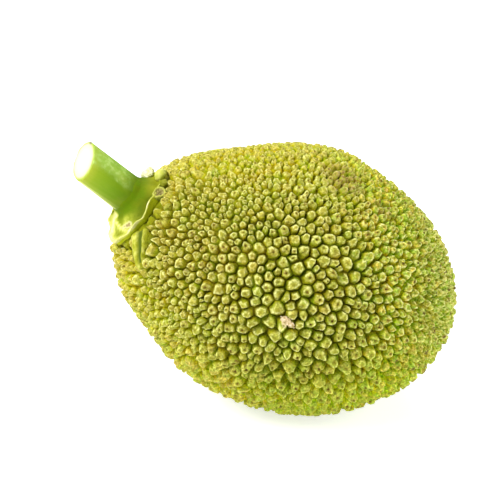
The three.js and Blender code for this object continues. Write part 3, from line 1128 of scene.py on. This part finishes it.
class Shader:
    """A material whose nodes are added by short calls, and whose colour is laid on in coats."""

    def __init__(self, name, roughness, gloss):
        self.material = bpy.data.materials.new(name)
        self.material.use_nodes = True
        self.tree = self.material.node_tree
        self.surface = self.tree.nodes["Principled BSDF"]
        self.surface.inputs["Roughness"].default_value = roughness
        self.surface.inputs["Specular IOR Level"].default_value = gloss
        self.place = self.source("ShaderNodeTexCoord", "Object")
        self.colour = None

    def node(self, kind, **settings):
        node = self.tree.nodes.new(kind)
        for key, value in settings.items():
            setattr(node, key, value)
        return node

    def feed(self, socket, value):
        if isinstance(value, Value):
            self.tree.links.new(value.socket, socket)
        elif isinstance(value, tuple) and len(value) == 3 and socket.type == "RGBA":
            socket.default_value = (*value, 1)
        else:
            socket.default_value = value

    def source(self, kind, output, **settings):
        """An output of a new node that needs no inputs."""
        return Value(self, self.node(kind, **settings).outputs[output])

    def attributes(self, *names):
        return [self.source("ShaderNodeAttribute", "Fac", attribute_name=name) for name in names]

    def split(self, vector):
        """The X, Y and Z of a vector."""
        node = self.node("ShaderNodeSeparateXYZ")
        self.feed(node.inputs[0], vector)
        return [Value(self, output) for output in node.outputs]

    def math(self, operation, a, b):
        node = self.node("ShaderNodeMath", operation=operation)
        self.feed(node.inputs[0], a)
        self.feed(node.inputs[1], b)
        return Value(self, node.outputs[0])

    def noise(self, scale, detail=3.0, roughness=0.55, stretch=None):
        node = self.node("ShaderNodeTexNoise")
        place = self.place
        if stretch:
            shift = self.node("ShaderNodeMapping")
            self.feed(shift.inputs["Vector"], place)
            self.feed(shift.inputs["Scale"], stretch)
            place = Value(self, shift.outputs[0])
        for socket, value in zip(("Vector", "Scale", "Detail", "Roughness"),
                                 (place, scale, detail, roughness)):
            self.feed(node.inputs[socket], value)
        return Value(self, node.outputs["Fac"])

    def spot(self, centre, inner, outer):
        """1 within inner of a point, 0 beyond outer."""
        node = self.node("ShaderNodeVectorMath", operation="DISTANCE")
        self.feed(node.inputs[0], self.place)
        self.feed(node.inputs[1], tuple(centre))
        return Value(self, node.outputs["Value"]).step(inner, outer, 1.0, 0.0)

    def mix(self, share, a, b, blend="MIX"):
        node = self.node("ShaderNodeMix", data_type="RGBA", blend_type=blend)
        self.feed(node.inputs[0], share)
        self.feed(node.inputs[6], a)
        self.feed(node.inputs[7], b)
        return Value(self, node.outputs[2])

    def paint(self, colour, share):
        """Covers the colour so far with another, as far as share says."""
        self.colour = self.mix(share, self.colour, colour)

    def tint(self, colour, share=None):
        """Multiplies the colour so far by another, all over or as far as share says."""
        tinted = self.mix(1.0, self.colour, colour, "MULTIPLY")
        self.colour = tinted if share is None else self.mix(share, self.colour, tinted)

    def finish(self, relief, strength, height):
        """Gives the surface its colour and a bump that follows the relief."""
        self.feed(self.surface.inputs["Base Color"], self.colour)
        node = self.node("ShaderNodeBump")
        for socket, value in zip(("Height", "Strength", "Distance"), (relief, strength, height)):
            self.feed(node.inputs[socket], value)
        self.feed(self.surface.inputs["Normal"], Value(self, node.outputs[0]))
        return self.material


# The green of a knob from the bottom of its cleft to its top, of the stalk from its foot up, of
# its cut end from the middle out, and of the collar from the neck to the lip. The dark bottoms of
# the clefts, the stalk's dark foot and the collar's dark hollow between neck and lip are painted
# shade. All colours are linear red, green and blue.
SHADED_CLEFT_GREENS = (
    (0.0, (0.105, 0.110, 0.001)), (0.25, (0.200, 0.209, 0.002)),
    (0.60, (0.315, 0.327, 0.006)), (0.98, (0.450, 0.452, 0.060)),
)
LIGHT_CLEFTS = (
    (0.25, (0.390, 0.400, 0.001)), (0.60, (0.425, 0.436, 0.005)), (0.98, (0.550, 0.552, 0.080)),
)
STALK_GREENS_SHADED_AT_FOOT = (
    (0.0, (0.088, 0.160, 0.001)), (0.22, (0.095, 0.178, 0.001)), (0.42, (0.130, 0.238, 0.003)),
    (0.62, (0.165, 0.290, 0.008)), (0.86, (0.230, 0.340, 0.012)), (1.0, (0.360, 0.420, 0.030)),
)
CUT_COLOURS = (
    (0.0, (0.71, 0.72, 0.58)), (0.50, (0.68, 0.69, 0.52)), (0.82, (0.66, 0.67, 0.42)),
    (0.90, (0.52, 0.57, 0.17)), (1.0, (0.24, 0.34, 0.02)),
)
COLLAR_GREENS_AND_SHADE = (
    (0.0, (0.100, 0.182, 0.001)), (0.30, (0.092, 0.155, 0.001)), (0.60, (0.070, 0.100, 0.001)),
    (0.84, (0.100, 0.125, 0.001)), (1.0, (0.230, 0.245, 0.006)),
)

# What the green is multiplied by, for noise or ripeness from low to high.
UNCHANGED = (1.0, 1.0, 1.0)
RIPENESS = ((0.0, (0.88, 1.01, 0.85)), (0.40, UNCHANGED), (0.95, (1.09, 0.95, 1.12)))
STAINS = ((0.36, (0.87, 1.06, 0.7)), (0.50, UNCHANGED), (0.64, (1.12, 0.96, 1.1)))
MOTTLING = ((0.40, (0.74, 0.75, 0.60)), (0.50, UNCHANGED), (0.60, (1.24, 1.22, 1.3)))
FINE_MOTTLING = ((0.38, (0.66, 0.76, 0.45)), (0.50, UNCHANGED), (0.62, (1.42, 1.36, 1.5)))
PATCHES = ((0.38, (0.80, 1.05, 0.7)), (0.62, (1.24, 0.98, 0.9)))

# Where the rind's looks change: along X to the blunt tip, down Z, and away from a spot.
TIP, FINELY_MOTTLED, FLAKED = (0.030, 0.080), (0.005, 0.060), (0.060, 0.100)
AGED, CAPPED = (0.030, 0.100), (0.062, 0.085)
LOW, BOUNCE_LIT_HEIGHTS = (0.115, 0.050), (0.074, 0.034)
CLEFT_SHADE_ON_BELLY, CLEFT_SHADE_BESIDE_COLLAR = (0.050, 0.103), (0.030, 0.066)
BRUISED, LESS_BRUISED, STAINED = (8 * MM, 26 * MM), (4 * MM, 18 * MM), (1.5 * MM, 8.0 * MM)

# What is painted over the green, with the painted bounce light low down and the rims' painted
# highlight among it.
PAINTED_BOUNCE_GREEN, RING_GREEN = (0.490, 0.510, 0.003), (0.245, 0.265, 0.004)
TOP_YELLOW, TOP_OLIVE = (0.345, 0.305, 0.018), (0.190, 0.165, 0.015)
RIM_CREAM_AND_HIGHLIGHT, LOW_RIM_YELLOW_AND_HIGHLIGHT, FLAKE_PALE = (0.86, 0.86, 0.29), (0.88, 0.89, 0.13), (0.76, 0.79, 0.22)
SCAR_BROWN, DRIED_BROWN = (0.190, 0.080, 0.015), (0.110, 0.060, 0.018)
CAP_BROWN, FLECK_BROWN = (0.130, 0.080, 0.020), (0.270, 0.140, 0.030)
BRUISE_BROWN, LATEX_BROWN = (0.270, 0.130, 0.055), (0.780, 0.620, 0.360)


class RindShader(Shader):
    """The rind, painted in the order of its methods."""

    def __init__(self):
        super().__init__("rind", 0.50, 0.09)
        layers = self.attributes(*KNOB_LAYERS)
        self.crown, self.rim, self.pit, self.tone, self.wear, self.bare = layers
        self.fine = self.noise(950, 3)
        self.mottle = self.noise(560, 3, 0.6)
        self.speckle = self.noise(460, 2, 0.65)
        self.grain = self.noise(330, 3)
        self.worn = self.noise(24, 3, 0.6)
        self.x, _, self.z = self.split(self.place)
        self.tip = self.x.step(*TIP)
        self.low = self.z.step(*LOW)
        self.fainter_at_tip = 1.0 - self.tip * 0.6

    def paint_green_and_cleft_shade(self):
        """On the belly, beside the collar and towards the tip, the clefts are darkened with painted
        shade; elsewhere they are green.
        """
        dark = self.spot(BELLY, *CLEFT_SHADE_ON_BELLY)
        dark = dark.larger(self.spot(BESIDE_COLLAR, *CLEFT_SHADE_BESIDE_COLLAR)).larger(self.tip * 0.42)
        self.colour = self.crown.ramp(*LIGHT_CLEFTS)
        self.paint(self.crown.ramp(*SHADED_CLEFT_GREENS), dark)
        # Low down the clefts are painted paler: painted bounce light from the floor.
        self.paint(PAINTED_BOUNCE_GREEN, self.z.step(*BOUNCE_LIT_HEIGHTS) * self.crown.step(0.95, 0.45, 0.3, 1.0))

    def tint_patches(self):
        """Greener towards the blunt tip and below, yellower towards the stalk and on top."""
        ripe = self.z * 3.2 - self.x * 3.3
        for spread, weight in ((self.worn, 1.3), (self.noise(85, 2), 2.2), (self.tone, 0.25)):
            ripe = ripe + (spread - 0.5) * weight
        self.tint(ripe.ramp(*RIPENESS))
        self.tint(self.noise(150, 2).ramp(*STAINS), self.crown.step(0.95, 0.45, 0.15, 1.0))
        self.tint(self.mottle.ramp(*MOTTLING))
        # Towards the blunt tip the rind is mottled more finely, yellow beside green.
        patches = self.noise(210, 2).ramp(*PATCHES)
        finely = self.mix(1.0, self.speckle.ramp(*FINE_MOTTLING), patches, "MULTIPLY")
        self.tint(finely, self.x.step(*FINELY_MOTTLED).larger(self.low * 0.5))

    def paint_tops_and_rim_highlights(self):
        """The smooth ring, the knobs' yellow middles, and their pale rims, which are partly painted
        highlight.
        """
        self.paint(RING_GREEN, self.bare * 0.85)
        uneven = self.pit + (self.grain - 0.5) * 0.9
        self.paint(TOP_YELLOW, uneven.step(0.25, 0.85, 0.0, 0.65))
        darker = uneven.step(0.40, 0.95) * self.wear.step(0.30, 0.75) * self.fainter_at_tip
        self.paint(TOP_OLIVE, darker * 0.75)
        # The rims' own paleness with a painted highlight on it, brighter towards the tip and duller
        # low down.
        pale = self.rim * self.mottle.step(0.36, 0.60, 0.35, 1.15)
        pale = pale * (1.0 + self.tip * 0.45) * (1.0 - self.low * 0.42)
        self.paint(self.mix(self.low, RIM_CREAM_AND_HIGHLIGHT, LOW_RIM_YELLOW_AND_HIGHLIGHT), pale.step(0.05, 0.92))
        self.paint(FLAKE_PALE, self.x.step(*FLAKED) * self.speckle.step(0.48, 0.60) * 0.75)

    def paint_brown(self):
        """A dot where each flower dried, flecks in the worn places, and two bruises."""
        bruise = self.spot(SECOND_BRUISE, *LESS_BRUISED) * 0.8
        bruise = bruise.larger(self.spot(BRUISE, *BRUISED)) * self.mottle.step(0.44, 0.55)
        aged = (self.worn - 0.5) * 1.1 + self.wear + bruise * 0.9
        aged = aged + self.x.step(*AGED, 0.0, 0.10)
        scar = self.pit.step(0.50, 0.92) * aged.step(0.52, 0.90) * self.fainter_at_tip
        self.paint(SCAR_BROWN, scar * self.fine.step(0.38, 0.58, 0.35, 1.0))
        dried = self.pit.step(0.10, 0.45) * self.wear.step(0.74, 0.84) * self.tip
        self.paint(DRIED_BROWN, dried * self.fine.step(0.40, 0.55) * 0.9)
        capped = self.crown.step(0.90, 1.0) * self.wear.step(0.88, 0.93) * self.x.step(*CAPPED)
        self.paint(CAP_BROWN, capped * self.fine.step(0.44, 0.56) * 0.75)
        fleck = self.noise(430, 3, 0.6).step(0.56, 0.66) * self.crown.step(0.45, 0.9)
        self.paint(FLECK_BROWN, fleck * aged.step(0.35, 1.0, 0.15, 0.9) * 0.8)
        self.paint(BRUISE_BROWN, bruise * 0.62)

    def paint_latex(self):
        """The stain round the smear of latex."""
        near = self.spot(LATEX, *STAINED) + self.mottle * 1.2
        self.paint(LATEX_BROWN, near.step(1.15, 1.35) * self.crown.step(0.3, 0.7) * 0.8)


def rind_material():
    skin = RindShader()
    skin.paint_green_and_cleft_shade()
    skin.tint_patches()
    skin.paint_tops_and_rim_highlights()
    skin.paint_brown()
    skin.paint_latex()
    return skin.finish(skin.grain * 0.7 + skin.fine * 0.3 + skin.mottle * 0.5, 1.0, 3 * MM)


def stalk_material():
    skin = Shader("stalk", 0.42, 0.08)
    along, side, reach = skin.attributes("along", "side", "reach")
    fine, mottle, blotch = skin.noise(700, 3), skin.noise(260, 3, 0.6), skin.noise(42, 3)
    streaks = skin.noise(95, 4, 0.6, stretch=(1.0, 1.0, 0.6))
    _, _, upward = skin.split(skin.source("ShaderNodeNewGeometry", "Normal"))
    # Darker towards its foot: painted shade beside the collar.
    skin.colour = along.ramp(*STALK_GREENS_SHADED_AT_FOOT)
    # Its upper side is painted paler and bluer: a painted highlight of the light from above, with a
    # waxy bloom in it. Its underside is painted paler as painted bounce light, with a painted
    # highlight along its lower edge.
    top_highlight_and_bloom = (upward + (streaks - 0.5) * 1.6).step(0.15, 0.85) * along.step(0.20, 0.50)
    skin.paint((0.300, 0.480, 0.070), top_highlight_and_bloom * 0.8)
    skin.paint((0.480, 0.640, 0.190), mottle.step(0.44, 0.66) * top_highlight_and_bloom * 0.6)
    # The underside's paler green is painted bounce light.
    under = upward.step(-0.15, -0.75) * along.step(0.05, 0.35)
    skin.paint((0.380, 0.420, 0.045), under * 0.6)
    # A painted highlight along the stalk's lower edge.
    skin.paint((0.680, 0.720, 0.220), upward.step(-0.52, -0.68, 0.0, 0.9))
    blotch = blotch.step(0.50, 0.75) * along.step(0.05, 0.35)
    skin.paint((0.310, 0.330, 0.020), blotch * 0.35)
    # The cut end has white pith, and a brown scrap on its torn edge.
    skin.colour = skin.mix(side.step(0.1, 0.9), reach.ramp(*CUT_COLOURS), skin.colour)
    torn = skin.spot(round_stalk(*TORN_PLACE), 1.2 * MM, 2.6 * MM)
    skin.paint((0.200, 0.170, 0.105), torn * fine.step(0.35, 0.55, 0.4, 1.0))
    return skin.finish(streaks * 0.6 + fine * 0.2, 0.35, 0.6 * MM)


def collar_material():
    skin = Shader("collar", 0.7, 0.05)
    pale, share, bright, under_lip_painted_light = skin.attributes("pale", "share", "bright", "under_lip_painted_light")
    grain, blotch = skin.noise(420, 4), skin.noise(120, 3)
    # Darkest in the hollow between the neck and the lip: painted shade.
    skin.colour = share.ramp(*COLLAR_GREENS_AND_SHADE)
    skin.paint((0.130, 0.150, 0.002), blotch.step(0.45, 0.70, 0.0, 0.45))
    skin.paint((0.240, 0.260, 0.010), bright)
    # Under the lip, a paler green: painted light where the lip's shadow falls.
    skin.paint((0.420, 0.470, 0.012), under_lip_painted_light)
    pale_dry_and_highlit = pale * grain.step(0.30, 0.60, 0.75, 1.0)
    dried = pale_dry_and_highlit.ramp(
        (0.25, (0.360, 0.400, 0.030)), (0.60, (0.560, 0.570, 0.120)), (0.90, (0.720, 0.680, 0.350)))
    skin.paint(dried, pale_dry_and_highlit.step(0.0, 0.45))
    speck = ring = 0.0
    for turn in SPECK_TURNS:
        place = round_stalk(turn, *SPECK)
        speck = skin.spot(place, 1.0 * MM, 2.3 * MM).larger(speck)
        ring = skin.spot(place, 2.0 * MM, 3.2 * MM).larger(ring)
    # A pale ring round each speck on the fold's ridge: partly a painted highlight.
    skin.paint((0.70, 0.66, 0.32), ring * 0.65)
    skin.paint((0.300, 0.220, 0.090), speck * grain.step(0.38, 0.50))
    return skin.finish(grain, 0.5, 0.8 * MM)


def smooth_knob_material():
    skin = Shader("smooth_knob", 0.42, 0.3)
    grain = skin.noise(260, 4)
    reach, = skin.attributes("reach")
    skin.colour = reach.ramp(
        (0.0, (0.230, 0.260, 0.010)), (0.45, (0.440, 0.470, 0.060)), (1.0, (0.560, 0.590, 0.100)))
    skin.paint((0.620, 0.600, 0.130), grain.step(0.42, 0.66, 0.0, 0.7))
    return skin.finish(grain, 0.4, 0.8 * MM)


def scar_material():
    skin = Shader("bract_scar", 0.60, 0.2)
    grain = skin.noise(520, 5, 0.65)
    core, pale = skin.attributes("core", "pale")
    cork = grain.ramp(
        (0.35, (0.170, 0.130, 0.035)), (0.52, (0.270, 0.225, 0.060)), (0.68, (0.370, 0.330, 0.110)))
    skin.colour = skin.mix(core, (0.250, 0.290, 0.030), cork)
    skin.paint((0.470, 0.480, 0.080), pale)
    return skin.finish(grain, 0.7, 1 * MM)


def ribs_material():
    skin = Shader("collar_ribs", 0.6, 0.06)
    grain = skin.noise(300, 4)
    furrow, = skin.attributes("furrow")
    skin.colour = grain.ramp(
        (0.34, (0.270, 0.290, 0.010)), (0.50, (0.380, 0.390, 0.035)), (0.64, (0.540, 0.540, 0.110)))
    skin.paint((0.078, 0.108, 0.007), furrow)
    return skin.finish(grain, 0.5, 0.8 * MM)


def grainy_material(name, roughness, gloss, noise, stops, strength, height):
    """A material whose colour and bump follow the same grain."""
    skin = Shader(name, roughness, gloss)
    grain = skin.noise(*noise)
    skin.colour = grain.ramp(*stops)
    return skin.finish(grain, strength, height)


def swelling_material():
    stops = (0.36, (0.160, 0.175, 0.004)), (0.64, (0.300, 0.310, 0.025))
    return grainy_material("low_swelling", 0.5, 0.1, (300, 4), stops, 0.5, 0.8 * MM)


def wax_material():
    stops = ((0.32, (0.430, 0.420, 0.110)), (0.50, (0.800, 0.790, 0.430)),
             (0.66, (0.900, 0.890, 0.640)))
    return grainy_material("dried_wax", 0.55, 0.25, (330, 4, 0.6), stops, 0.8, 1.2 * MM)


def latex_material():
    stops = ((0.36, (0.300, 0.230, 0.070)), (0.50, (0.640, 0.480, 0.250)),
             (0.64, (0.860, 0.740, 0.540)))
    return grainy_material("latex", 0.55, 0.15, (480, 4, 0.6), stops, 0.8, 1.2 * MM)


# ---- Stage ----------------------------------------------------------------------------------

def add_floor():
    """A pale floor that glows as painted light, less near the fruit and white where it is far off;
    its glow also lights the fruit from below.
    """
    bpy.ops.mesh.primitive_plane_add(size=8)
    floor = bpy.context.object
    floor.name = "floor"
    paint = Shader("floor", 0.9, 0.1)
    near = paint.spot((0.0, 0.0, 0.0), 0.35, 0.9)
    # The floor's glow is painted light.
    glow = paint.mix(near, UNCHANGED, (0.62, 0.62, 0.65))
    for socket, value in (("Base Color", (0.78, 0.78, 0.84)), ("Emission Color", glow),
                          ("Emission Strength", 1.0)):
        paint.feed(paint.surface.inputs[socket], value)
    floor.data.materials.append(paint.material)


def add_softbox(name, place, size, power):
    light = bpy.data.lights.new(name, "AREA")
    light.size = size
    light.energy = power
    box = bpy.data.objects.new(name, light)
    box.location = place
    aim = Vector(SOFTBOX_AIM) - Vector(place)
    box.rotation_euler = aim.to_track_quat("-Z", "Y").to_euler()
    bpy.context.scene.collection.objects.link(box)


def add_light():
    """A dim white room that looks bright to the camera, and three softboxes."""
    world = bpy.data.worlds.new("world")
    bpy.context.scene.world = world
    world.use_nodes = True
    nodes, links = world.node_tree.nodes, world.node_tree.links
    background = nodes["Background"]
    background.inputs["Color"].default_value = (1, 1, 1, 1)
    seen = nodes.new("ShaderNodeLightPath").outputs["Is Camera Ray"]
    strength = nodes.new("ShaderNodeMapRange")
    links.new(seen, strength.inputs[0])
    strength.inputs["To Min"].default_value = ROOM_LIGHT
    strength.inputs["To Max"].default_value = 1.0
    links.new(strength.outputs[0], background.inputs["Strength"])
    for name, (place, size, power) in SOFTBOXES.items():
        add_softbox(name, place, size, power)


# ---- Main -----------------------------------------------------------------------------------

def add_piece(piece, material, slot, *replaced):
    piece.data.materials.append(material)
    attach(piece, "root")
    if replaced:
        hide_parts(*replaced)


add_camera()
fruit_surface = FruitSurface("fruit")
add_piece(build_rind(fruit_surface), rind_material(), "rind", "fruit")
add_piece(build_stalk(), stalk_material(), "stalk", "stalk")
add_piece(build_collar(), collar_material(), "collar", "collar")
add_piece(build_ribs(fruit_surface), ribs_material(), "collar")
add_piece(build_scar(), scar_material(), "collar")
add_piece(build_mark("smooth_knob"), smooth_knob_material(), "collar")
add_piece(build_mark("low_swelling"), swelling_material(), "collar")
add_piece(build_mark("dried_wax"), wax_material(), "collar")
add_piece(build_latex(fruit_surface), latex_material(), "rind")
add_floor()
add_light()
bpy.context.scene.view_settings.view_transform = "Standard"
